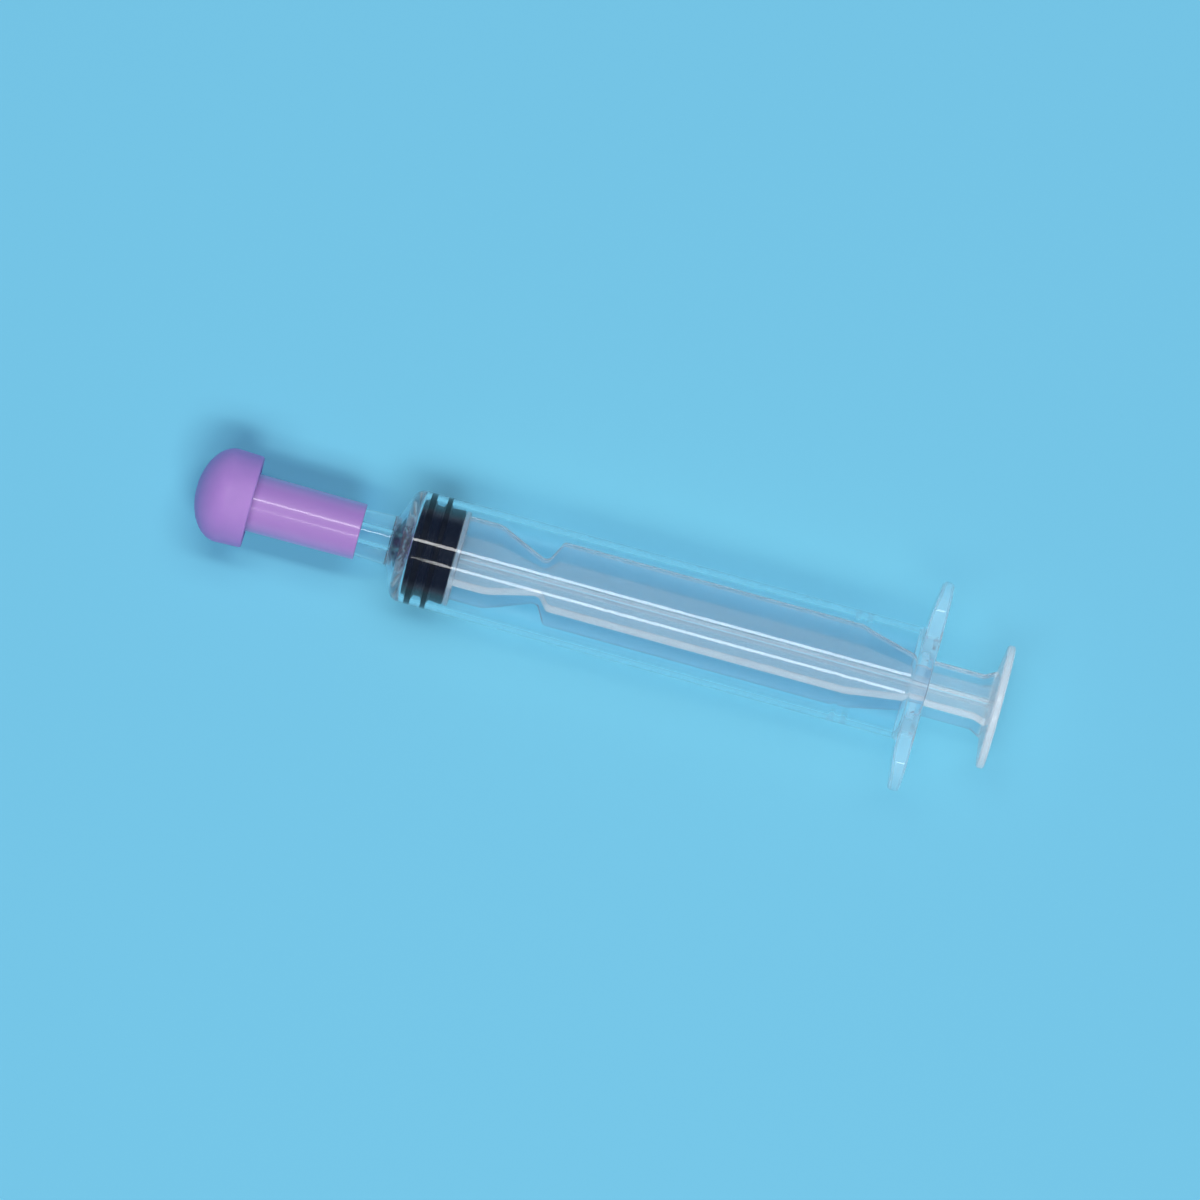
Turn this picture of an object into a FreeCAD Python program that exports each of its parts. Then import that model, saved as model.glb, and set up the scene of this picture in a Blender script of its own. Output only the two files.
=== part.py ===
"""Oral dosing syringe lying on its side, 10 ml size, with a push-on soft-headed tip.

Five pieces make the real thing, and each one is a solid of its own here:

    barrel        clear polypropylene tube, nozzle and finger flange in one moulding
    plunger_rod   cross-vaned polypropylene rod with a thumb disc and a button for the seal
    plunger_seal  black rubber seal with two sealing ribs, snapped on the rod's button
    tip_sleeve    purple tube that pushes over the nozzle's taper
    soft_tip      purple soft head held on the sleeve's bead

Units are millimetres. Every outline is drawn as (x, radius), with x measured along the syringe from the
front of the soft tip. The last step moves the pieces into the part's own frame: +X from the tip to the
thumb disc, +Z up, and the origin under the middle of the syringe on the surface that it lies on.
"""

import FreeCAD, Part  # noqa: E401  FreeCAD has to be imported before Part

import math
import os

# Driving dimensions -------------------------------------------------------------------------------------

OVERALL_LENGTH = 123.3  # from the soft tip's front, before its outlet is cut, to the thumb disc
AXIS_HEIGHT = 9.5  # half the height across the flange's flats, which the syringe lies on

BARREL_RADIUS = 8.5
BORE_RADIUS = 7.6
SHOULDER_X = 30.0  # where the nozzle runs into the shoulder
SHOULDER_LEAN = math.tan(math.radians(21.0))  # x gained for each mm of radius on the shoulder's cone
SHOULDER_WALL = 1.5  # measured along x
SHOULDER_ROUND = 2.0

NOZZLE_END_X = 17.0
NOZZLE_END_RADIUS = 3.2
NOZZLE_ROOT_RADIUS = 3.75
NOZZLE_BORE = 1.1

FLANGE_BACK_X = 112.1
FLANGE_THICKNESS = 2.5
FLANGE_RIM_THICKNESS = 1.8
FLANGE_RADIUS = 15.95
FLANGE_LEVEL_WIDTH = 19.4  # the front face is level across this width and then slopes to its ends
FLANGE_CORNER_ROUND = 3.0
FLANGE_EDGE_ROUND = 0.6
FLANGE_ROOT_ROUND = 0.75
MOUTH_CHAMFER = 0.5
RIDGE_X = (99.9, 100.8)  # crest of the low ridge that keeps the seal from being pulled out
RIDGE_RADIUS = 7.38
RIDGE_FLANK = 0.9

SEAL_RIB_CLEARANCE = 0.02
SEAL_NOSE_GAP = 0.25
SEAL_NOSE_RADIUS = 1.7
SEAL_FRONT_RIB = (33.95, 34.85)  # start and end of each sealing rib's crest
SEAL_REAR_RIB = (36.45, 37.20)
SEAL_RIB_FLANK = 0.3
SEAL_GROOVE_RADIUS = 6.9
SEAL_LAND_RADIUS = 7.2
SEAL_BACK_X = 39.5

ROD_TURN = 30.0  # how far the cross of vanes is turned about the syringe's axis, in degrees
ROD_CLEARANCE = 0.05  # between the rod's head and the seal
ROD_HEAD_RADIUS = 7.2
ROD_HEAD_THICKNESS = 0.8
BUTTON_NECK_RADIUS = 2.2
BUTTON_RADIUS = 3.5
BUTTON_FRONT_X = 36.0
BUTTON_LENGTH = 2.1
VANE_THICKNESS = 1.2
VANE_RADIUS = 7.2
VANE_GRIP_RADIUS = 4.75  # outside the barrel
ROD_CORE_RADIUS = 1.15
RELIEF_START_X = 45.4  # the long slope of the relief cut in each vane
RELIEF_BOTTOM_X = 53.0
RELIEF_END_X = 54.7
RELIEF_RADIUS = 3.6
TAPER_START_X = 100.3
TAPER_END_X = 109.5
THUMB_RADIUS = 9.4
THUMB_RIM_THICKNESS = 1.2
THUMB_HUB_THICKNESS = 1.9
THUMB_HUB_RADIUS = 4.9
THUMB_EDGE_ROUND = 0.45
GUSSET_LENGTH = 1.6
GUSSET_HEIGHT = 1.0

SLEEVE_FRONT_X = 2.9
SLEEVE_END_X = 25.1
SLEEVE_NECK_RADIUS = 4.4
SLEEVE_END_RADIUS = 4.25
SLEEVE_BORE = 1.2
SLEEVE_BEAD_RADIUS = 5.4
SLEEVE_BEAD_X = (4.2, 5.1)
SOCKET_CLEARANCE = 0.02
SOCKET_END_GAP = 0.4

HEAD_RADIUS = 7.1
HEAD_NOSE_LENGTH = 4.7
HEAD_BACK_X = 8.6
HEAD_BACK_RADIUS = 6.95
HEAD_LIP_RADIUS = 6.1
HEAD_RECESS_DEPTH = 0.9
HEAD_EDGE_ROUND = 0.35
OUTLET_RADIUS = 0.9


# Outlines and solids ------------------------------------------------------------------------------------

def turn_at(before, corner, after):
    """Unit vectors from a corner back to the point before it and on to the point after it."""
    back = (before - corner).normalize()
    on = (after - corner).normalize()
    return back, on


def outline(points):
    """A closed wire through (x, radius) or (x, radius, corner_round) points, in the XY plane."""
    places = [FreeCAD.Vector(p[0], p[1], 0) for p in points]
    rounds = [p[2] if len(p) > 2 else 0.0 for p in points]
    count = len(points)
    edges = []
    starts = []
    ends = []
    arcs = []
    for i, corner in enumerate(places):
        if rounds[i] == 0.0:
            starts.append(corner)
            ends.append(corner)
            arcs.append(None)
            continue
        back, on = turn_at(places[i - 1], corner, places[(i + 1) % count])
        half = math.acos(max(-1.0, min(1.0, back.dot(on)))) / 2
        reach = rounds[i] / math.tan(half)
        into = (back + on).normalize()
        centre = corner + into * (rounds[i] / math.sin(half))
        first = corner + back * reach
        last = corner + on * reach
        middle = centre - into * rounds[i]
        starts.append(first)
        ends.append(last)
        arcs.append(Part.Arc(first, middle, last).toShape())
    for i in range(count):
        if arcs[i] is not None:
            edges.append(arcs[i])
        here = ends[i]
        there = starts[(i + 1) % count]
        if here.distanceToPoint(there) > 1e-6:
            edges.append(Part.LineSegment(here, there).toShape())
    return Part.Wire(edges)


def turned(wire):
    """The solid that an outline makes when it is turned about the syringe's axis."""
    face = Part.Face(wire)
    return face.revolve(FreeCAD.Vector(0, 0, 0), FreeCAD.Vector(1, 0, 0), 360)


def cylinder(x_start, x_end, radius):
    """A round bar or drill along the syringe's axis."""
    return Part.makeCylinder(
        radius, x_end - x_start, FreeCAD.Vector(x_start, 0, 0), FreeCAD.Vector(1, 0, 0)
    )


def nozzle_radius(x):
    """Outside radius of the nozzle's taper."""
    share = (x - NOZZLE_END_X) / (SHOULDER_X - NOZZLE_END_X)
    return NOZZLE_END_RADIUS + share * (NOZZLE_ROOT_RADIUS - NOZZLE_END_RADIUS)


def shoulder_x(radius):
    """Where the outside of the shoulder's cone has a radius."""
    return SHOULDER_X + (radius - NOZZLE_ROOT_RADIUS) * SHOULDER_LEAN


def chamber_x(radius):
    """Where the inside of the shoulder's cone has a radius."""
    return shoulder_x(radius) + SHOULDER_WALL


# Barrel -------------------------------------------------------------------------------------------------

def flange_plate():
    """Oblong finger flange with rounded ends, thinner at its ends than at the barrel."""
    front_x = FLANGE_BACK_X - FLANGE_THICKNESS
    rim_x = FLANGE_BACK_X - FLANGE_RIM_THICKNESS
    section = Part.makePolygon([
        FreeCAD.Vector(front_x, -FLANGE_LEVEL_WIDTH / 2, -AXIS_HEIGHT),
        FreeCAD.Vector(front_x, FLANGE_LEVEL_WIDTH / 2, -AXIS_HEIGHT),
        FreeCAD.Vector(rim_x, FLANGE_RADIUS, -AXIS_HEIGHT),
        FreeCAD.Vector(FLANGE_BACK_X, FLANGE_RADIUS, -AXIS_HEIGHT),
        FreeCAD.Vector(FLANGE_BACK_X, -FLANGE_RADIUS, -AXIS_HEIGHT),
        FreeCAD.Vector(rim_x, -FLANGE_RADIUS, -AXIS_HEIGHT),
        FreeCAD.Vector(front_x, -FLANGE_LEVEL_WIDTH / 2, -AXIS_HEIGHT),
    ])
    wedge = Part.Face(section).extrude(FreeCAD.Vector(0, 0, 2 * AXIS_HEIGHT))
    plate = wedge.common(cylinder(front_x - 1, FLANGE_BACK_X, FLANGE_RADIUS)).removeSplitter()
    corners = [
        edge for edge in plate.Edges
        if edge.Length < FLANGE_THICKNESS and abs(edge.tangentAt(edge.FirstParameter).x) > 0.99
    ]
    plate = plate.makeFillet(FLANGE_CORNER_ROUND, corners)
    rim = [
        edge for edge in plate.Edges
        if abs(edge.tangentAt(edge.FirstParameter).x) < 0.99
        and not (abs(abs(edge.CenterOfMass.y) - FLANGE_LEVEL_WIDTH / 2) < 0.01)
    ]
    return plate.makeFillet(FLANGE_EDGE_ROUND, rim)


def barrel():
    """Tube, shoulder, nozzle and flange, hollow from the nozzle's end to the mouth."""
    tube = turned(outline([
        (NOZZLE_END_X, 0),
        (NOZZLE_END_X, NOZZLE_END_RADIUS, 0.4),
        (SHOULDER_X, NOZZLE_ROOT_RADIUS, 0.5),
        (shoulder_x(BARREL_RADIUS), BARREL_RADIUS, SHOULDER_ROUND),
        (FLANGE_BACK_X, BARREL_RADIUS),
        (FLANGE_BACK_X, 0),
    ]))
    body = tube.fuse(flange_plate()).removeSplitter()
    front_x = FLANGE_BACK_X - FLANGE_THICKNESS
    root = [
        edge for edge in body.Edges
        if isinstance(edge.Curve, Part.Circle)
        and abs(edge.Curve.Radius - BARREL_RADIUS) < 1e-4
        and abs(edge.Curve.Center.x - front_x) < 1e-4
    ]
    body = body.makeFillet(FLANGE_ROOT_ROUND, root)
    ridge_start, ridge_end = RIDGE_X
    hollow = turned(outline([
        (NOZZLE_END_X - 1, 0),
        (NOZZLE_END_X - 1, NOZZLE_BORE),
        (chamber_x(NOZZLE_BORE), NOZZLE_BORE, 0.3),
        (chamber_x(BORE_RADIUS), BORE_RADIUS, 0.5),
        (ridge_start - RIDGE_FLANK, BORE_RADIUS),
        (ridge_start, RIDGE_RADIUS),
        (ridge_end, RIDGE_RADIUS),
        (ridge_end + RIDGE_FLANK, BORE_RADIUS),
        (FLANGE_BACK_X - 2 * MOUTH_CHAMFER, BORE_RADIUS),
        (FLANGE_BACK_X, BORE_RADIUS + MOUTH_CHAMFER),
        (FLANGE_BACK_X + 1, BORE_RADIUS + MOUTH_CHAMFER),
        (FLANGE_BACK_X + 1, 0),
    ]))
    return body.cut(hollow)


# Plunger ------------------------------------------------------------------------------------------------

def button(grow):
    """The button and neck at the rod's front, or with grow the pocket that holds them."""
    back_x = SEAL_BACK_X + ROD_CLEARANCE
    button_back_x = BUTTON_FRONT_X + BUTTON_LENGTH
    return turned(outline([
        (BUTTON_FRONT_X - grow, 0),
        (BUTTON_FRONT_X - grow, BUTTON_RADIUS + grow, 0.7),
        (button_back_x + grow, BUTTON_RADIUS + grow, 0.2),
        (button_back_x + grow, BUTTON_NECK_RADIUS + grow),
        (back_x, BUTTON_NECK_RADIUS + grow),
        (back_x, 0),
    ]))


def plunger_seal():
    """Rubber seal: cone nose, two sealing ribs, a rear land and the pocket for the button."""
    crest = BORE_RADIUS - SEAL_RIB_CLEARANCE
    front_start, front_end = SEAL_FRONT_RIB
    rear_start, rear_end = SEAL_REAR_RIB
    nose_corner_x = chamber_x(SEAL_LAND_RADIUS) + SEAL_NOSE_GAP
    nose_x = chamber_x(SEAL_NOSE_RADIUS) + SEAL_NOSE_GAP
    body = turned(outline([
        (nose_x, 0),
        (nose_x, SEAL_NOSE_RADIUS, 0.4),
        (nose_corner_x, SEAL_LAND_RADIUS, 0.3),
        (front_start - SEAL_RIB_FLANK, SEAL_LAND_RADIUS, 0.1),
        (front_start, crest, 0.12),
        (front_end, crest, 0.12),
        (front_end + SEAL_RIB_FLANK, SEAL_GROOVE_RADIUS, 0.2),
        (rear_start - SEAL_RIB_FLANK, SEAL_GROOVE_RADIUS, 0.2),
        (rear_start, crest, 0.12),
        (rear_end, crest, 0.12),
        (rear_end + SEAL_RIB_FLANK, SEAL_LAND_RADIUS - 0.15, 0.1),
        (SEAL_BACK_X, SEAL_LAND_RADIUS, 0.25),
        (SEAL_BACK_X, 0),
    ]))
    return body.cut(button(ROD_CLEARANCE))


def vane(turn):
    """One flat vane through the axis, with its relief cut, taper and gusset, turned about the axis."""
    head_x = SEAL_BACK_X + ROD_CLEARANCE + ROD_HEAD_THICKNESS / 2
    disc_x = OVERALL_LENGTH - THUMB_HUB_THICKNESS
    half = outline([
        (head_x, 0),
        (head_x, VANE_RADIUS),
        (RELIEF_START_X, VANE_RADIUS, 4.0),
        (RELIEF_BOTTOM_X, RELIEF_RADIUS, 0.9),
        (RELIEF_END_X, VANE_RADIUS, 0.6),
        (TAPER_START_X, VANE_RADIUS, 10.0),
        (TAPER_END_X, VANE_GRIP_RADIUS, 10.0),
        (disc_x - GUSSET_LENGTH, VANE_GRIP_RADIUS, 1.0),
        (disc_x, VANE_GRIP_RADIUS + GUSSET_HEIGHT),
        (disc_x + THUMB_RIM_THICKNESS, VANE_GRIP_RADIUS),
        (disc_x + THUMB_RIM_THICKNESS, 0),
    ])
    plate = Part.Face(half).extrude(FreeCAD.Vector(0, 0, VANE_THICKNESS))
    plate.translate(FreeCAD.Vector(0, 0, -VANE_THICKNESS / 2))
    plate.rotate(FreeCAD.Vector(0, 0, 0), FreeCAD.Vector(1, 0, 0), turn)
    return plate


def thumb_disc():
    """Round thumb disc, thicker at its hub than at its rim."""
    back_x = OVERALL_LENGTH
    return turned(outline([
        (back_x - THUMB_HUB_THICKNESS, 0),
        (back_x - THUMB_HUB_THICKNESS, THUMB_HUB_RADIUS, 1.5),
        (back_x - THUMB_RIM_THICKNESS, THUMB_RADIUS, THUMB_EDGE_ROUND),
        (back_x, THUMB_RADIUS, THUMB_EDGE_ROUND),
        (back_x, 0),
    ]))


def plunger_rod():
    """Button, head disc, four vanes on a thin core, and the thumb disc."""
    head_x = SEAL_BACK_X + ROD_CLEARANCE
    pieces = [
        cylinder(head_x, head_x + ROD_HEAD_THICKNESS, ROD_HEAD_RADIUS),
        cylinder(head_x, OVERALL_LENGTH - THUMB_RIM_THICKNESS, ROD_CORE_RADIUS),
        thumb_disc(),
    ]
    pieces += [vane(ROD_TURN + quarter * 90) for quarter in range(4)]
    return button(0).multiFuse(pieces).removeSplitter()


# Push-on tip --------------------------------------------------------------------------------------------

def sleeve_outside():
    """The sleeve with no bore: a slim taper with a bead at the front that holds the soft head."""
    bead_start, bead_end = SLEEVE_BEAD_X
    return turned(outline([
        (SLEEVE_FRONT_X, 0),
        (SLEEVE_FRONT_X, SLEEVE_NECK_RADIUS),
        (bead_start, SLEEVE_BEAD_RADIUS, 0.2),
        (bead_end, SLEEVE_BEAD_RADIUS, 0.2),
        (bead_end + 0.2, SLEEVE_NECK_RADIUS),
        (SLEEVE_END_X, SLEEVE_END_RADIUS, 0.2),
        (SLEEVE_END_X, 0),
    ]))


def tip_sleeve():
    """The sleeve, with a tapered socket for the nozzle and a slim bore in front of it."""
    socket_front_x = NOZZLE_END_X - SOCKET_END_GAP
    bore = turned(outline([
        (SLEEVE_FRONT_X - 1, 0),
        (SLEEVE_FRONT_X - 1, SLEEVE_BORE),
        (socket_front_x, SLEEVE_BORE),
        (socket_front_x, nozzle_radius(socket_front_x) + SOCKET_CLEARANCE),
        (SLEEVE_END_X + 1, nozzle_radius(SLEEVE_END_X + 1) + SOCKET_CLEARANCE),
        (SLEEVE_END_X + 1, 0),
    ]))
    return sleeve_outside().cut(bore)


def soft_tip():
    """Domed soft head with a recessed back, moulded to the sleeve's bead, and its outlet hole."""
    side_start = FreeCAD.Vector(HEAD_NOSE_LENGTH, HEAD_RADIUS, 0)
    nose = Part.Ellipse(side_start, FreeCAD.Vector(0, 0, 0), FreeCAD.Vector(HEAD_NOSE_LENGTH, 0, 0))
    dome_edge = Part.Arc(nose, 0, math.pi / 2).toShape()
    side_end = FreeCAD.Vector(HEAD_BACK_X - HEAD_EDGE_ROUND, HEAD_BACK_RADIUS, 0)
    lip_start = FreeCAD.Vector(HEAD_BACK_X, HEAD_BACK_RADIUS - HEAD_EDGE_ROUND, 0)
    lean = HEAD_EDGE_ROUND * (1 - math.sqrt(0.5))
    lip_middle = FreeCAD.Vector(HEAD_BACK_X - lean, HEAD_BACK_RADIUS - lean, 0)
    lip_end = FreeCAD.Vector(HEAD_BACK_X, HEAD_LIP_RADIUS, 0)
    recess = FreeCAD.Vector(HEAD_BACK_X - HEAD_RECESS_DEPTH, SLEEVE_NECK_RADIUS + 0.3, 0)
    recess_foot = FreeCAD.Vector(HEAD_BACK_X - HEAD_RECESS_DEPTH, 0, 0)
    edges = [
        dome_edge,
        Part.LineSegment(side_start, side_end).toShape(),
        Part.Arc(side_end, lip_middle, lip_start).toShape(),
        Part.LineSegment(lip_start, lip_end).toShape(),
        Part.LineSegment(lip_end, recess).toShape(),
        Part.LineSegment(recess, recess_foot).toShape(),
        Part.LineSegment(recess_foot, FreeCAD.Vector(0, 0, 0)).toShape(),
    ]
    head = turned(Part.Wire(Part.__sortEdges__(edges)))
    outlet = cylinder(-1, SLEEVE_FRONT_X + 0.5, OUTLET_RADIUS)
    return head.cut(sleeve_outside()).cut(outlet)


# Placing and writing ------------------------------------------------------------------------------------

def main():
    """Builds the five pieces, moves them into the part's frame and writes one STEP file for each."""
    os.makedirs("parts", exist_ok=True)
    outlet_share = OUTLET_RADIUS / HEAD_RADIUS
    front_x = HEAD_NOSE_LENGTH * (1 - math.sqrt(1 - outlet_share ** 2))
    shift = FreeCAD.Vector(-(front_x + OVERALL_LENGTH) / 2, 0, AXIS_HEIGHT)
    pieces = {
        "barrel": barrel(),
        "plunger_rod": plunger_rod(),
        "plunger_seal": plunger_seal(),
        "tip_sleeve": tip_sleeve(),
        "soft_tip": soft_tip(),
    }
    for name, shape in pieces.items():
        shape.translate(shift)
        solids = shape.Solids
        if len(solids) != 1 or not solids[0].isValid():
            raise RuntimeError(name + " is not one valid solid")
        solids[0].exportStep("parts/" + name + ".step")
        print(name, "volume", round(solids[0].Volume, 1), "mm3")


main()
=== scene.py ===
"""Looks of an oral syringe with a soft push-on tip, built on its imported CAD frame.

Every outline is drawn in millimetres as (x, radius, corner round), with x measured from the soft tip's
front along the syringe, and is then placed on the frame's own axis in metres.
"""

import math

import bmesh
import bpy
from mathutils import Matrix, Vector


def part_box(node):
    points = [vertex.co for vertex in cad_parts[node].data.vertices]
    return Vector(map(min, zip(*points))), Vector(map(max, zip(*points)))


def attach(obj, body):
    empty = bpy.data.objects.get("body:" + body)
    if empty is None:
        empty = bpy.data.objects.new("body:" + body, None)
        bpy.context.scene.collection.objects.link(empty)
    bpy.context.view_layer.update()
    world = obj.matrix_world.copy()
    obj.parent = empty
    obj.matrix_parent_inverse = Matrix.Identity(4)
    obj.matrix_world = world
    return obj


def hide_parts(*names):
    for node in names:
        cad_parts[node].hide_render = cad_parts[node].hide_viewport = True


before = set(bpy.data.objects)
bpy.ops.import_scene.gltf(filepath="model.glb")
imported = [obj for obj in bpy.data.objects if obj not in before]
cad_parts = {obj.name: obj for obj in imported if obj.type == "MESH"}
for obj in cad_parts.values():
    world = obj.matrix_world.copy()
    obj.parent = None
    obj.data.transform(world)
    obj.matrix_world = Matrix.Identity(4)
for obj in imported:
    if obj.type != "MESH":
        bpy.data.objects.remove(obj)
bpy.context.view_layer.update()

BARREL_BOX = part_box("barrel")
ROD_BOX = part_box("plunger_rod")

# Sizes in millimetres -----------------------------------------------------------------------------------

LENGTH = 123.3
TURN_STEPS = 240  # points around each turned piece

NOZZLE_FRONT = 17.0
NOZZLE_RADII = (3.2, 3.75)  # at its front and where it meets the shoulder
NOZZLE_BORE = 1.1
SHOULDER_X = 30.0
SHOULDER_LEAN = math.tan(math.radians(21.0))
WALL_STEP = 1.5
BARREL_RADIUS = 8.5
BORE_RADIUS = 7.6
FLANGE_FRONT = 109.6
FLANGE_BACK = 112.1
FLANGE_RADIUS = 15.95
FLANGE_HALF_HEIGHT = 9.5
FLANGE_CORNER = 3.0
FLANGE_LEVEL = 9.7
FLANGE_SLOPE = 0.7 / (FLANGE_RADIUS - FLANGE_LEVEL)
RIDGE_X = (99.9, 100.8)
RIDGE_RADIUS = 7.38
RIDGE_FLANK = 0.9

SEAL_RIBS = ((33.95, 34.85), (36.45, 37.20))
SEAL_CREST = BORE_RADIUS + 0.03  # the rubber presses on the wall with no air between them
SEAL_RADIUS = 7.2
SEAL_NOSE_RADIUS = 1.7
SEAL_GAP = 0.25  # between its cone nose and the shoulder's inside
SEAL_BACK = 39.5
POCKET_FRONT = 35.95
POCKET_BACK = 38.15
POCKET_RADIUS = 3.55
NECK_HOLE = 2.25

BUTTON_FRONT = 36.0
BUTTON_BACK = 38.1
BUTTON_RADIUS = 3.5
NECK_RADIUS = 2.2
DISC_FRONT = 39.55
DISC_BACK = 40.35
ROD_TURN = math.radians(30.0)
VANE_HALF = 0.6
VANE_RADIUS = 7.2
RELIEF_X = (45.4, 53.0, 54.7)
RELIEF_RADIUS = 3.6
TAPER_X = (100.3, 109.5)
GRIP_RADIUS = 4.75
ROOT_ROUND = 0.5
TIP_ROUND = 0.5
THUMB_FRONT = LENGTH - 1.9
THUMB_RIM = LENGTH - 1.2
THUMB_HUB = 4.9
THUMB_RADIUS = 9.4

SLEEVE_FRONT = 2.9
SLEEVE_BACK = 25.1
SLEEVE_RADII = (4.4, 4.25)
SLEEVE_BORE = 1.2
SOCKET_FRONT = 16.6
SOCKET_GAP = 0.02
BEAD_X = (4.2, 5.1, 5.3)
BEAD_RADIUS = 5.4

HEAD_RADIUS = 7.1
HEAD_NOSE = 4.7
HEAD_BACK = 8.6
HEAD_RECESS = 7.7
HEAD_GAP = 0.02
OUTLET_RADIUS = 0.9

ORIGIN_X = ROD_BOX[1][0] - LENGTH / 1000  # the soft tip's front in the frame, in metres
AXIS_Z = (BARREL_BOX[0][2] + BARREL_BOX[1][2]) / 2


# Outlines -----------------------------------------------------------------------------------------------

def rounded(points, closed, steps=6):
    """The outline with an arc of a few steps in place of each corner that has a round."""
    result = []
    count = len(points)
    for i, point in enumerate(points):
        corner = Vector((point[0], point[1]))
        reach = point[2] if len(point) > 2 else 0.0
        ends = not closed and i in (0, count - 1)
        if reach == 0.0 or ends:
            result.append(corner)
            continue
        before = Vector(points[i - 1][:2])
        after = Vector(points[(i + 1) % count][:2])
        back = (before - corner).normalized()
        on = (after - corner).normalized()
        half = math.acos(max(-1.0, min(1.0, back.dot(on)))) / 2
        centre = corner + (back + on).normalized() * (reach / math.sin(half))
        first = corner + back * (reach / math.tan(half)) - centre
        last = corner + on * (reach / math.tan(half)) - centre
        sweep = first.angle_signed(last)
        for step in range(steps + 1):
            turn = -sweep * step / steps
            cos_t = math.cos(turn)
            sin_t = math.sin(turn)
            result.append(centre + Vector((first.x * cos_t - first.y * sin_t,
                                           first.x * sin_t + first.y * cos_t)))
    return result


def supported(line, closed, near=0.12, longest=4.0):
    """The same outline with extra points beside its corners, so smooth shading stays on the corners."""
    result = []
    count = len(line)
    for i in range(count if closed else count - 1):
        here = line[i]
        there = line[(i + 1) % count]
        result.append(here)
        length = (there - here).length
        if length < 4 * near:
            continue
        stops = [near]
        gaps = max(1, math.ceil((length - 2 * near) / longest))
        stops += [near + (length - 2 * near) * gap / gaps for gap in range(1, gaps + 1)]
        result += [here.lerp(there, stop / length) for stop in stops]
    if not closed:
        result.append(line[-1])
    return result


def placed(x, radius, turn):
    """A point on the syringe, in metres in the frame, from millimetres and a turn away from +Y."""
    return Vector((
        ORIGIN_X + x / 1000,
        radius * math.cos(turn) / 1000,
        AXIS_Z + radius * math.sin(turn) / 1000,
    ))


def finished(bm, name):
    """An object made from a bmesh, its normals outward, smooth except at real corners."""
    bmesh.ops.recalc_face_normals(bm, faces=bm.faces)
    mesh = bpy.data.meshes.new(name)
    bm.to_mesh(mesh)
    bm.free()
    piece = bpy.data.objects.new(name, mesh)
    bpy.context.scene.collection.objects.link(piece)
    smoothed(piece)
    return piece


def smoothed(piece, limit=38.0):
    """Smooth shading with sharp edges only where two faces meet at more than the limit."""
    mesh = piece.data
    for polygon in mesh.polygons:
        polygon.use_smooth = True
    mesh.set_sharp_from_angle(angle=math.radians(limit))


def turned(name, profile, closed, steps=TURN_STEPS):
    """A turned piece. profile(turn) is a list of (x, radius) that has the same length at every turn."""
    bm = bmesh.new()
    rings = []
    for step in range(steps):
        turn = 2 * math.pi * step / steps
        rings.append(profile(turn))
    count = len(rings[0])
    columns = []
    for i in range(count):
        if abs(rings[0][i].y) < 1e-6:
            pole = bm.verts.new(placed(rings[0][i].x, 0.0, 0.0))
            columns.append([pole] * steps)
            continue
        column = []
        for step in range(steps):
            turn = 2 * math.pi * step / steps
            column.append(bm.verts.new(placed(rings[step][i].x, rings[step][i].y, turn)))
        columns.append(column)
    for i in range(count if closed else count - 1):
        low = columns[i]
        high = columns[(i + 1) % count]
        for step in range(steps):
            after = (step + 1) % steps
            corners = [low[step], high[step], high[after], low[after]]
            unique = []
            for vert in corners:
                if vert not in unique:
                    unique.append(vert)
            if len(unique) > 2:
                bm.faces.new(unique)
    return finished(bm, name)


def plain(points, closed, steps=6):
    """A profile that is the same at every turn."""
    line = supported(rounded(points, closed, steps), closed)
    return lambda turn: line


# Pieces -------------------------------------------------------------------------------------------------

def nozzle_radius(x):
    """Outside radius of the nozzle's taper."""
    share = (x - NOZZLE_FRONT) / (SHOULDER_X - NOZZLE_FRONT)
    return NOZZLE_RADII[0] + share * (NOZZLE_RADII[1] - NOZZLE_RADII[0])


def shoulder_x(radius):
    """Where the shoulder's outside has a radius."""
    return SHOULDER_X + (radius - NOZZLE_RADII[1]) * SHOULDER_LEAN


def flange_edge(turn):
    """The flange's outline: a circle with two flats and rounded corners, as a radius at a turn from +Y."""
    across = abs(math.cos(turn))
    up = abs(math.sin(turn))
    centre_up = FLANGE_HALF_HEIGHT - FLANGE_CORNER
    reach = FLANGE_RADIUS - FLANGE_CORNER
    centre_across = math.sqrt(reach ** 2 - centre_up ** 2)
    angle = math.atan2(up, across)
    if angle < math.atan2(centre_up, centre_across):
        return FLANGE_RADIUS
    if angle > math.atan2(FLANGE_HALF_HEIGHT, centre_across):
        return FLANGE_HALF_HEIGHT / up
    along = centre_across * across + centre_up * up
    return along + math.sqrt(along ** 2 - reach ** 2 + FLANGE_CORNER ** 2)


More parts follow.
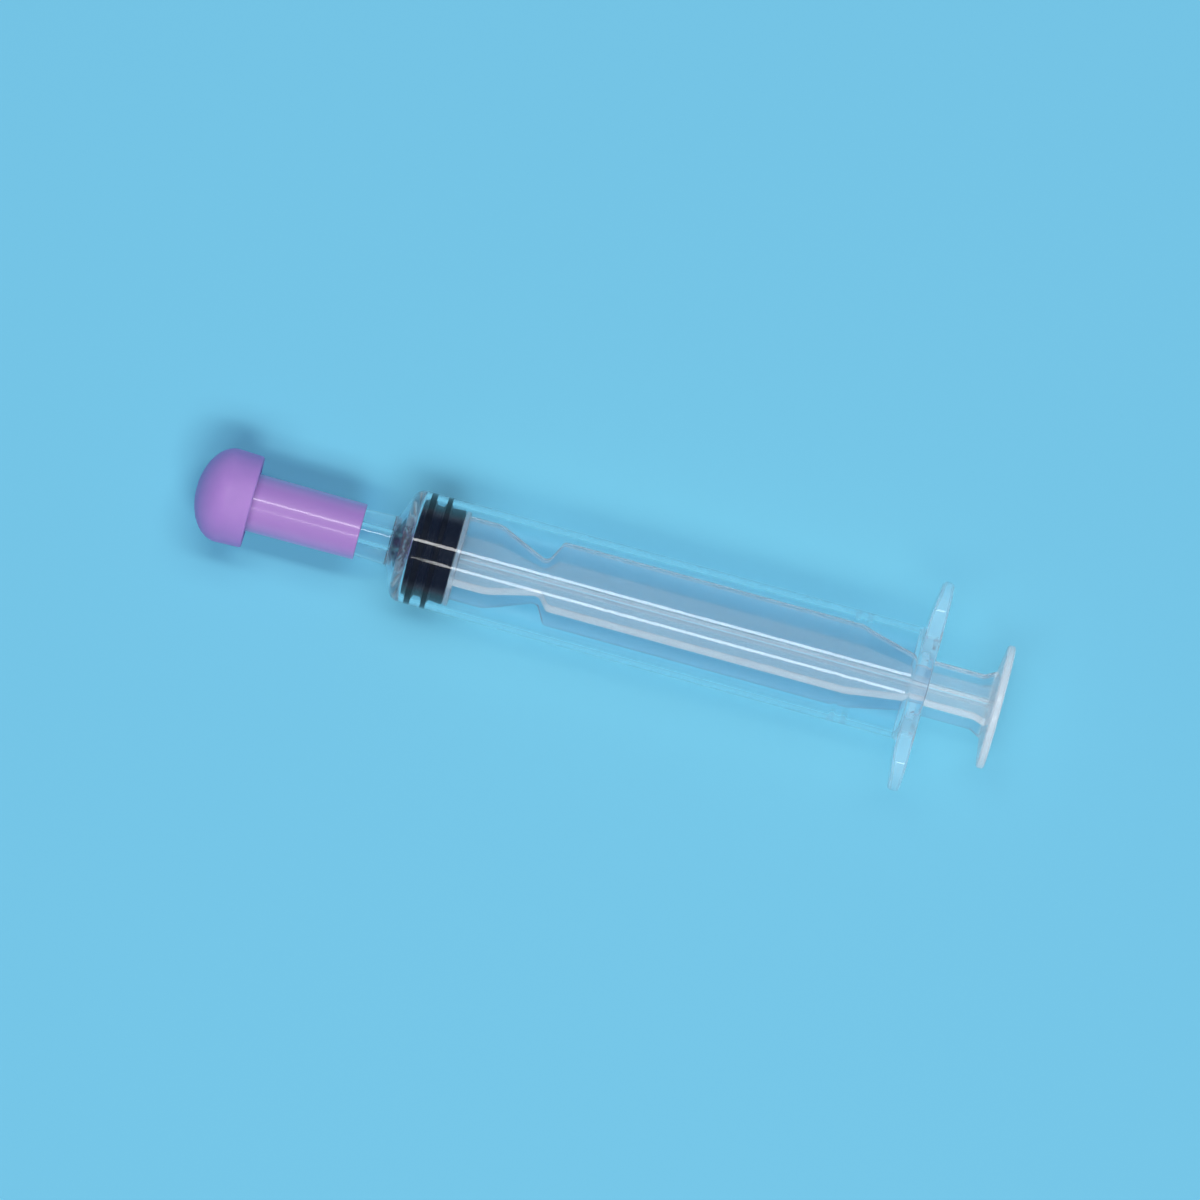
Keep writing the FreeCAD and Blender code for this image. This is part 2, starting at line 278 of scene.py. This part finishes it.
def barrel_profile(turn):
    """Section of the barrel at a turn, from the nozzle's front round the outside and back inside."""
    edge = flange_edge(turn)
    spare = edge - BARREL_RADIUS
    root = min(0.75, 0.5 * spare)
    rim = min(0.6, 0.4 * spare)
    across = abs(math.cos(turn))
    level = FLANGE_LEVEL / max(across, 0.01)
    level = min(max(level, BARREL_RADIUS + root + 0.05), edge - rim - 0.05)

    def front(radius):
        return FLANGE_FRONT + FLANGE_SLOPE * max(0.0, radius * across - FLANGE_LEVEL)

    outside = [
        (NOZZLE_FRONT, NOZZLE_BORE, 0.1),
        (NOZZLE_FRONT, NOZZLE_RADII[0], 0.4),
        (SHOULDER_X, NOZZLE_RADII[1], 0.5),
        (shoulder_x(BARREL_RADIUS), BARREL_RADIUS, 2.0),
        (FLANGE_FRONT, BARREL_RADIUS, root),
    ]
    flange = [
        (front(level), level),
        (front(edge), edge, rim),
        (FLANGE_BACK, edge, rim),
        (FLANGE_BACK, BORE_RADIUS + 0.5, 0.15),
    ]
    inside = [
        (FLANGE_BACK - 1.0, BORE_RADIUS, 0.3),
        (RIDGE_X[1] + RIDGE_FLANK, BORE_RADIUS, 0.8),
        (RIDGE_X[1], RIDGE_RADIUS, 0.5),
        (RIDGE_X[0], RIDGE_RADIUS, 0.5),
        (RIDGE_X[0] - RIDGE_FLANK, BORE_RADIUS, 0.8),
        (shoulder_x(BORE_RADIUS) + WALL_STEP, BORE_RADIUS, 0.5),
        (shoulder_x(NOZZLE_BORE) + WALL_STEP, NOZZLE_BORE, 0.3),
    ]
    tube = supported(rounded(outside + flange[:1], False), False)[:-1]
    plate = rounded([outside[-1], *flange, inside[0]], False)[1:-1]
    bore = supported(rounded([flange[-1], *inside, outside[0]], False), False)[1:-1]
    return tube + plate + bore


def make_barrel():
    """Nozzle, shoulder, tube and flange as one hollow moulding."""
    return turned("barrel_moulding", barrel_profile, True)


def make_seal():
    """Rubber seal with a cone nose, two sealing ribs and the pocket for the rod's button."""
    front_rib, back_rib = SEAL_RIBS
    flank = 0.3
    nose = shoulder_x(SEAL_NOSE_RADIUS) + WALL_STEP + SEAL_GAP
    nose_rim = shoulder_x(SEAL_RADIUS) + WALL_STEP + SEAL_GAP
    points = [
        (nose, 0.0),
        (nose, SEAL_NOSE_RADIUS, 0.4),
        (nose_rim, SEAL_RADIUS, 0.3),
        (front_rib[0] - flank, SEAL_RADIUS, 0.1),
        (front_rib[0], SEAL_CREST, 0.12),
        (front_rib[1], SEAL_CREST, 0.12),
        (front_rib[1] + flank, SEAL_RADIUS - 0.3, 0.2),
        (back_rib[0] - flank, SEAL_RADIUS - 0.3, 0.2),
        (back_rib[0], SEAL_CREST, 0.12),
        (back_rib[1], SEAL_CREST, 0.12),
        (back_rib[1] + flank, SEAL_RADIUS - 0.15, 0.1),
        (SEAL_BACK, SEAL_RADIUS, 0.25),
        (SEAL_BACK, NECK_HOLE, 0.05),
        (POCKET_BACK, NECK_HOLE, 0.05),
        (POCKET_BACK, POCKET_RADIUS, 0.2),
        (POCKET_FRONT, POCKET_RADIUS, 0.7),
        (POCKET_FRONT, 0.0),
    ]
    return turned("seal_rubber", plain(points, False), False)


def make_sleeve():
    """Purple tube with the nozzle's socket in its back and a bead under the soft head."""
    points = [
        (SLEEVE_FRONT, SLEEVE_BORE),
        (SLEEVE_FRONT, SLEEVE_RADII[0]),
        (BEAD_X[0], BEAD_RADIUS, 0.2),
        (BEAD_X[1], BEAD_RADIUS, 0.2),
        (BEAD_X[2], SLEEVE_RADII[0]),
        (SLEEVE_BACK, SLEEVE_RADII[1], 0.2),
        (SLEEVE_BACK, nozzle_radius(SLEEVE_BACK) + SOCKET_GAP, 0.08),
        (SOCKET_FRONT, nozzle_radius(SOCKET_FRONT) + SOCKET_GAP),
        (SOCKET_FRONT, SLEEVE_BORE),
    ]
    return turned("sleeve_tube", plain(points, True), True)


def make_head():
    """Domed soft head with a rounded rim, a recessed back and an outlet hole."""
    dome = []
    start = math.asin(OUTLET_RADIUS / HEAD_RADIUS)
    for step in range(33):
        angle = start + (math.pi / 2 - start) * step / 32
        dome.append((HEAD_NOSE * (1 - math.cos(angle)), HEAD_RADIUS * math.sin(angle)))
    neck = SLEEVE_RADII[0] - HEAD_GAP
    bead = BEAD_RADIUS - HEAD_GAP
    points = dome + [
        (HEAD_BACK, HEAD_RADIUS - 0.15, 0.35),
        (HEAD_BACK, HEAD_RADIUS - 1.0, 0.2),
        (HEAD_RECESS, SLEEVE_RADII[0] + 0.35, 0.3),
        (HEAD_RECESS, neck),
        (BEAD_X[2], neck),
        (BEAD_X[1], bead),
        (BEAD_X[0], bead),
        (SLEEVE_FRONT + HEAD_GAP, neck),
        (SLEEVE_FRONT + HEAD_GAP, OUTLET_RADIUS),
    ]
    return turned("head_soft", plain(points, True), True)


def vane_radius_line():
    """The vanes' outer edge from the head disc to the thumb disc, as points with their rounds."""
    points = [
        (DISC_BACK - 0.3, VANE_RADIUS),
        (RELIEF_X[0], VANE_RADIUS, 4.0),
        (RELIEF_X[1], RELIEF_RADIUS, 0.9),
        (RELIEF_X[2], VANE_RADIUS, 0.6),
        (TAPER_X[0], VANE_RADIUS, 10.0),
        (TAPER_X[1], GRIP_RADIUS, 10.0),
        (THUMB_FRONT - 1.6, GRIP_RADIUS, 1.0),
        (THUMB_FRONT, GRIP_RADIUS + 1.0),
        (THUMB_FRONT + 0.6, GRIP_RADIUS + 1.2),
    ]
    return supported(rounded(points, False, 10), False)


def cross_section(radius):
    """Outline of the four vanes at one place along the rod, as (distance, sideways) turned into place."""
    ring = []
    fractions = (0.0, 0.04, 0.34, 0.67, 0.96)
    start = VANE_HALF + ROOT_ROUND
    end = radius - TIP_ROUND
    for quarter in range(4):
        base = ROD_TURN + quarter * math.pi / 2
        side = [(start + (end - start) * f, -VANE_HALF) for f in fractions]
        for step in range(7):
            angle = -math.pi / 2 + step * math.pi / 12
            side.append((end + TIP_ROUND * math.cos(angle),
                         -VANE_HALF + TIP_ROUND + TIP_ROUND * math.sin(angle)))
        side.append((radius, 0.0))
        mirrored = [(along, -sideways) for along, sideways in reversed(side[:-1])]
        corner = []
        for step in range(1, 6):
            angle = math.radians(270 - 15 * step)
            corner.append((start + ROOT_ROUND * math.cos(angle), start + ROOT_ROUND * math.sin(angle)))
        for along, sideways in side + mirrored + corner:
            ring.append((
                along * math.cos(base) - sideways * math.sin(base),
                along * math.sin(base) + sideways * math.cos(base),
            ))
    return ring


def make_cross():
    """The four vanes as one closed bar of changing width."""
    bm = bmesh.new()
    rings = []
    for station in vane_radius_line():
        ring = []
        for across, up in cross_section(station.y):
            ring.append(bm.verts.new(Vector((
                ORIGIN_X + station.x / 1000,
                across / 1000,
                AXIS_Z + up / 1000,
            ))))
        rings.append(ring)
    count = len(rings[0])
    for low, high in zip(rings, rings[1:]):
        for i in range(count):
            after = (i + 1) % count
            bm.faces.new((low[i], low[after], high[after], high[i]))
    bm.faces.new(rings[0])
    bm.faces.new(list(reversed(rings[-1])))
    return finished(bm, "rod_moulding")


def joined(piece, others):
    """One closed solid from overlapping ones, so clear plastic has no walls inside it."""
    for other in others:
        cut = piece.modifiers.new("union", "BOOLEAN")
        cut.operation = "UNION"
        cut.solver = "EXACT"
        cut.object = other
    graph = bpy.context.evaluated_depsgraph_get()
    merged = bpy.data.meshes.new_from_object(piece.evaluated_get(graph))
    piece.modifiers.clear()
    piece.data = merged
    for other in others:
        bpy.data.objects.remove(other)
    smoothed(piece)
    return piece


def make_rod():
    """Plunger rod: button, head disc, vanes and thumb disc joined into one moulding."""
    front = [
        (BUTTON_FRONT, 0.0),
        (BUTTON_FRONT, BUTTON_RADIUS, 0.7),
        (BUTTON_BACK, BUTTON_RADIUS, 0.2),
        (BUTTON_BACK, NECK_RADIUS, 0.1),
        (DISC_FRONT, NECK_RADIUS, 0.1),
        (DISC_FRONT, VANE_RADIUS, 0.2),
        (DISC_BACK, VANE_RADIUS, 0.2),
        (DISC_BACK, 0.0),
    ]
    thumb = [
        (THUMB_FRONT, 0.0),
        (THUMB_FRONT, THUMB_HUB, 1.5),
        (THUMB_RIM, THUMB_RADIUS, 0.45),
        (LENGTH, THUMB_RADIUS, 0.45),
        (LENGTH, 0.0),
    ]
    head_disc = turned("head_disc", plain(front, False), False, 120)
    thumb_disc = turned("thumb_disc", plain(thumb, False), False, 160)
    return joined(make_cross(), [head_disc, thumb_disc])


# Materials ----------------------------------------------------------------------------------------------

def new_material(name):
    """A node material, its node tree and its Principled shader."""
    material = bpy.data.materials.new(name)
    material.use_nodes = True
    tree = material.node_tree
    shader = tree.nodes["Principled BSDF"]
    return material, tree, shader


def noise(tree, scale, detail, stretch=(1.0, 1.0, 1.0)):
    """Noise fixed to the piece, in metres, stretched along its axes."""
    place = tree.nodes.new("ShaderNodeTexCoord")
    mapping = tree.nodes.new("ShaderNodeMapping")
    mapping.inputs["Scale"].default_value = stretch
    texture = tree.nodes.new("ShaderNodeTexNoise")
    texture.inputs["Scale"].default_value = scale
    texture.inputs["Detail"].default_value = detail
    tree.links.new(place.outputs["Object"], mapping.inputs["Vector"])
    tree.links.new(mapping.outputs["Vector"], texture.inputs["Vector"])
    return texture.outputs["Fac"]


def varied(tree, value, low, high):
    """A value from 0.3 to 0.7 stretched to run from low to high."""
    ramp = tree.nodes.new("ShaderNodeMapRange")
    ramp.inputs["From Min"].default_value = 0.3
    ramp.inputs["From Max"].default_value = 0.7
    ramp.inputs["To Min"].default_value = low
    ramp.inputs["To Max"].default_value = high
    tree.links.new(value, ramp.inputs["Value"])
    return ramp.outputs["Result"]


def mixed(tree, value, dark, light, start=0.3, end=0.7):
    """A colour between two, chosen by a value that runs from the start to the end."""
    ramp = tree.nodes.new("ShaderNodeValToRGB")
    ramp.color_ramp.elements[0].position = start
    ramp.color_ramp.elements[0].color = (*dark, 1.0)
    ramp.color_ramp.elements[1].position = end
    ramp.color_ramp.elements[1].color = (*light, 1.0)
    tree.links.new(value, ramp.inputs["Fac"])
    return ramp.outputs["Color"]


def bumped(tree, shader, value, distance, strength):
    """Small relief on the surface, with its depth in metres."""
    bump = tree.nodes.new("ShaderNodeBump")
    bump.inputs["Distance"].default_value = distance
    bump.inputs["Strength"].default_value = strength
    tree.links.new(value, bump.inputs["Height"])
    tree.links.new(bump.outputs["Normal"], shader.inputs["Normal"])


def hazed(tree, density):
    """Milkiness inside a clear plastic, which makes a thick part whiter. Density is per metre."""
    haze = tree.nodes.new("ShaderNodeVolumeScatter")
    haze.inputs["Color"].default_value = (0.92, 0.975, 1.0, 1.0)
    haze.inputs["Density"].default_value = density
    haze.inputs["Anisotropy"].default_value = -0.3
    tree.links.new(haze.outputs["Volume"], tree.nodes["Material Output"].inputs["Volume"])


def lit_through(tree, shader, tint):
    """Lets the lamps reach what is behind a clear plastic, dimmed by the tint at each of its surfaces."""
    path = tree.nodes.new("ShaderNodeLightPath")
    clear = tree.nodes.new("ShaderNodeBsdfTransparent")
    tree.links.new(tint, clear.inputs["Color"])
    mix = tree.nodes.new("ShaderNodeMixShader")
    tree.links.new(path.outputs["Is Shadow Ray"], mix.inputs[0])
    tree.links.new(shader.outputs["BSDF"], mix.inputs[1])
    tree.links.new(clear.outputs["BSDF"], mix.inputs[2])
    tree.links.new(mix.outputs["Shader"], tree.nodes["Material Output"].inputs["Surface"])


def along_x(tree, start, end, low, high):
    """A value that runs from low to high between two places along the syringe, in millimetres."""
    place = tree.nodes.new("ShaderNodeTexCoord")
    parts = tree.nodes.new("ShaderNodeSeparateXYZ")
    ramp = tree.nodes.new("ShaderNodeMapRange")
    ramp.inputs["From Min"].default_value = ORIGIN_X + start / 1000
    ramp.inputs["From Max"].default_value = ORIGIN_X + end / 1000
    ramp.inputs["To Min"].default_value = low
    ramp.inputs["To Max"].default_value = high
    tree.links.new(place.outputs["Object"], parts.inputs["Vector"])
    tree.links.new(parts.outputs["X"], ramp.inputs["Value"])
    return ramp.outputs["Result"]


def clear_polypropylene():
    """Clear moulded plastic, with faint flow along the tube and a milkier flange where it is thick."""
    material, tree, shader = new_material("clear_polypropylene")
    clearness = along_x(tree, FLANGE_FRONT - 0.6, FLANGE_FRONT + 0.2, 1.0, 0.95)
    tree.links.new(clearness, shader.inputs["Transmission Weight"])
    shader.inputs["IOR"].default_value = 1.49
    flow = noise(tree, 260.0, 3.0, (0.15, 1.0, 1.0))
    tint = mixed(tree, flow, (0.93, 0.97, 0.985), (0.95, 0.98, 1.0))
    tree.links.new(tint, shader.inputs["Base Color"])
    tree.links.new(varied(tree, flow, 0.03, 0.06), shader.inputs["Roughness"])
    hazed(tree, 10.0)
    nozzle = along_x(tree, SHOULDER_X - 2.0, SHOULDER_X - 0.5, 0.0, 1.0)
    lit_through(tree, shader, mixed(tree, nozzle, (0.62, 0.70, 0.80), (0.87, 0.90, 0.925), 0.0, 1.0))
    return material


def shade_vs_glow_and_thumb_mask(tree):
    """From 0 on the thumb disc, milky where it is thick, and on the steeper pair of vanes, painted whiter
    and milkier as a painted glow of the light that falls into them, to 1 on the other pair, painted darker
    and clearer as painted shade.
    """
    place = tree.nodes.new("ShaderNodeTexCoord")
    along = tree.nodes.new("ShaderNodeVectorMath")
    along.operation = "DOT_PRODUCT"
    along.inputs[1].default_value = (0.0, math.cos(ROD_TURN), math.sin(ROD_TURN))
    axis = tree.nodes.new("ShaderNodeMath")
    axis.operation = "SUBTRACT"
    axis.inputs[1].default_value = AXIS_Z * math.sin(ROD_TURN)
    size = tree.nodes.new("ShaderNodeMath")
    size.operation = "ABSOLUTE"
    ramp = tree.nodes.new("ShaderNodeMapRange")
    ramp.inputs["From Min"].default_value = (VANE_HALF + 0.1) / 1000
    ramp.inputs["From Max"].default_value = (VANE_HALF + ROOT_ROUND) / 1000
    tree.links.new(place.outputs["Object"], along.inputs[0])
    tree.links.new(along.outputs["Value"], axis.inputs[0])
    tree.links.new(axis.outputs["Value"], size.inputs[0])
    tree.links.new(size.outputs["Value"], ramp.inputs["Value"])
    both = tree.nodes.new("ShaderNodeMath")
    both.operation = "MULTIPLY"
    tree.links.new(ramp.outputs["Result"], both.inputs[0])
    tree.links.new(along_x(tree, THUMB_FRONT - 0.5, THUMB_FRONT + 0.5, 1.0, 0.0), both.inputs[1])
    return both.outputs["Value"]


def natural_polypropylene():
    """Milky translucent plastic of the rod. The thick thumb disc is milkier, the steeper pair of vanes is
    painted whiter as a painted glow, and the other pair is painted darker and clearer as painted shade.
    """
    material, tree, shader = new_material("natural_polypropylene")
    shade_vs_glow_and_thumb = shade_vs_glow_and_thumb_mask(tree)
    # Painted glow: the steeper vanes, like the thick thumb disc, let less light straight through so they
    # read whiter; the shaded pair stays clear.
    clearness = tree.nodes.new("ShaderNodeMapRange")
    clearness.inputs["To Min"].default_value = 0.78
    clearness.inputs["To Max"].default_value = 0.99
    tree.links.new(shade_vs_glow_and_thumb, clearness.inputs["Value"])
    tree.links.new(clearness.outputs["Result"], shader.inputs["Transmission Weight"])
    shader.inputs["IOR"].default_value = 1.49
    cloud = noise(tree, 180.0, 4.0, (0.4, 1.0, 1.0))
    # Painted light and shade: a pale colour on the steeper vanes and thumb, a darker one on the other pair.
    tree.links.new(mixed(tree, shade_vs_glow_and_thumb, (0.90, 0.97, 0.98), (0.74, 0.85, 0.91), 0.0, 1.0),
                   shader.inputs["Base Color"])
    tree.links.new(varied(tree, cloud, 0.14, 0.2), shader.inputs["Roughness"])
    hazed(tree, 85.0)
    # Painted shade: the darker pair dims the lamps more, so it casts a darker shadow below.
    lit_through(tree, shader, mixed(tree, shade_vs_glow_and_thumb, (0.97, 0.98, 0.985), (0.885, 0.90, 0.92), 0.0, 1.0))
    return material


def black_rubber():
    """Silicone-oiled black rubber."""
    material, tree, shader = new_material("black_rubber")
    grain = noise(tree, 1500.0, 4.0)
    tree.links.new(mixed(tree, grain, (0.002, 0.003, 0.005), (0.005, 0.007, 0.010)),
                   shader.inputs["Base Color"])
    tree.links.new(varied(tree, grain, 0.42, 0.55), shader.inputs["Roughness"])
    shader.inputs["Specular IOR Level"].default_value = 0.08
    bumped(tree, shader, grain, 0.00001, 0.4)
    return material


def purple_plastic():
    """Glossy purple plastic with the slight waviness of a moulded tube."""
    material, tree, shader = new_material("purple_plastic")
    cloud = noise(tree, 140.0, 3.0, (0.5, 1.0, 1.0))
    tree.links.new(mixed(tree, cloud, (0.43, 0.24, 0.565), (0.48, 0.27, 0.60)),
                   shader.inputs["Base Color"])
    tree.links.new(varied(tree, cloud, 0.32, 0.4), shader.inputs["Roughness"])
    shader.inputs["Coat Weight"].default_value = 0.7
    shader.inputs["Coat Roughness"].default_value = 0.09
    shader.inputs["Subsurface Weight"].default_value = 0.15
    shader.inputs["Subsurface Radius"].default_value = (0.002, 0.001, 0.002)
    shader.inputs["Subsurface Scale"].default_value = 1.0
    bumped(tree, shader, noise(tree, 350.0, 3.0, (0.4, 1.0, 1.0)), 0.00002, 0.35)
    return material


def purple_elastomer():
    """Soft satin elastomer with a fine grain."""
    material, tree, shader = new_material("purple_elastomer")
    cloud = noise(tree, 160.0, 4.0)
    tree.links.new(mixed(tree, cloud, (0.41, 0.225, 0.56), (0.47, 0.26, 0.61)),
                   shader.inputs["Base Color"])
    tree.links.new(varied(tree, cloud, 0.45, 0.55), shader.inputs["Roughness"])
    shader.inputs["Subsurface Weight"].default_value = 0.2
    shader.inputs["Subsurface Radius"].default_value = (0.002, 0.001, 0.002)
    shader.inputs["Subsurface Scale"].default_value = 1.0
    bumped(tree, shader, noise(tree, 2600.0, 3.0), 0.00001, 0.5)
    return material


def floor_paint():
    """Plain pale blue surface."""
    material, tree, shader = new_material("floor_paint")
    shade = noise(tree, 3.0, 2.0)
    tree.links.new(mixed(tree, shade, (0.177, 0.578, 0.73), (0.181, 0.588, 0.74)),
                   shader.inputs["Base Color"])
    shader.inputs["Roughness"].default_value = 0.65
    return material


# Stage --------------------------------------------------------------------------------------------------

def make_floor():
    """Large plain floor under the syringe."""
    bm = bmesh.new()
    bmesh.ops.create_grid(bm, x_segments=8, y_segments=8, size=3.0)
    mesh = bpy.data.meshes.new("floor")
    bm.to_mesh(mesh)
    bm.free()
    floor = bpy.data.objects.new("floor", mesh)
    floor.location.z = -0.00003
    bpy.context.scene.collection.objects.link(floor)
    floor.data.materials.append(floor_paint())


def soft_light(name, lean, distance, along, size, radiance, shows=True):
    """Flat lamp that faces the syringe's axis from a lean away from overhead, in degrees."""
    tilt = math.radians(lean)
    data = bpy.data.lights.new(name, "AREA")
    data.shape = "RECTANGLE"
    data.size = size[0]
    data.size_y = size[1]
    data.energy = radiance * math.pi * size[0] * size[1]
    lamp = bpy.data.objects.new(name, data)
    lamp.location = (along, distance * math.sin(tilt), distance * math.cos(tilt))
    lamp.rotation_euler = (-tilt, 0.0, 0.0)
    lamp.visible_glossy = shows
    lamp.visible_transmission = False
    bpy.context.scene.collection.objects.link(lamp)


def make_room():
    """Dim blue room around the syringe, pale and brighter at the horizon."""
    world = bpy.data.worlds.new("soft_room")
    world.use_nodes = True
    tree = world.node_tree
    direction = tree.nodes.new("ShaderNodeTexCoord")
    parts = tree.nodes.new("ShaderNodeSeparateXYZ")
    ramp = tree.nodes.new("ShaderNodeValToRGB")
    ramp.color_ramp.elements[0].position = 0.0
    ramp.color_ramp.elements[0].color = (0.38, 0.52, 0.73, 1.0)
    ramp.color_ramp.elements[1].position = 0.3
    ramp.color_ramp.elements[1].color = (0.012, 0.042, 0.17, 1.0)
    tree.links.new(direction.outputs["Generated"], parts.inputs["Vector"])
    tree.links.new(parts.outputs["Z"], ramp.inputs["Fac"])
    tree.links.new(ramp.outputs["Color"], tree.nodes["Background"].inputs["Color"])
    bpy.context.scene.world = world


def make_lights():
    """Two long lights whose reflections run along the barrel, and broad soft ones that don't show in it."""
    soft_light("line_far", 14.9, 1.25, 0.0, (0.9, 0.12), 10.0)
    soft_light("line_near", -20.5, 1.28, 0.247, (0.57, 0.12), 10.0)
    soft_light("soft_far", 23.0, 1.3, 0.0, (1.0, 0.45), 2.8, shows=False)
    soft_light("soft_near", -23.0, 1.3, 0.0, (1.0, 0.45), 5.75, shows=False)


def make_camera():
    """Camera straight above, turned so that the syringe slopes down to the right."""
    turn = math.radians(15.4)
    view_width = 0.1776
    distance = 2.6
    data = bpy.data.cameras.new("camera")
    data.sensor_width = 36.0
    data.lens = 36.0 * distance / view_width
    data.clip_start = 0.05
    data.clip_end = 20.0
    camera = bpy.data.objects.new("camera", data)
    right = Vector((math.cos(turn), math.sin(turn), 0.0))
    up = Vector((-math.sin(turn), math.cos(turn), 0.0))
    centre = right * 0.00022 - up * 0.00036
    camera.location = (centre.x, centre.y, AXIS_Z + distance)
    camera.rotation_euler = (0.0, 0.0, turn)
    bpy.context.scene.collection.objects.link(camera)
    bpy.context.scene.camera = camera


# The whole thing ----------------------------------------------------------------------------------------

def add(piece, material, body, node):
    """Gives a piece its material and the body it rides on, and hides the CAD node it stands for."""
    piece.data.materials.clear()
    piece.data.materials.append(material)
    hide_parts(node)
    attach(piece, body)


add(make_barrel(), clear_polypropylene(), "barrel", "barrel")
add(make_rod(), natural_polypropylene(), "rod", "plunger_rod")
add(make_seal(), black_rubber(), "seal", "plunger_seal")
add(make_sleeve(), purple_plastic(), "tip", "tip_sleeve")
add(make_head(), purple_elastomer(), "tip", "soft_tip")

make_floor()
make_room()
make_lights()
make_camera()
scene = bpy.context.scene
scene.view_settings.view_transform = "Standard"
scene.cycles.max_bounces = 64
scene.cycles.glossy_bounces = 48
scene.cycles.transmission_bounces = 48
scene.cycles.volume_bounces = 16
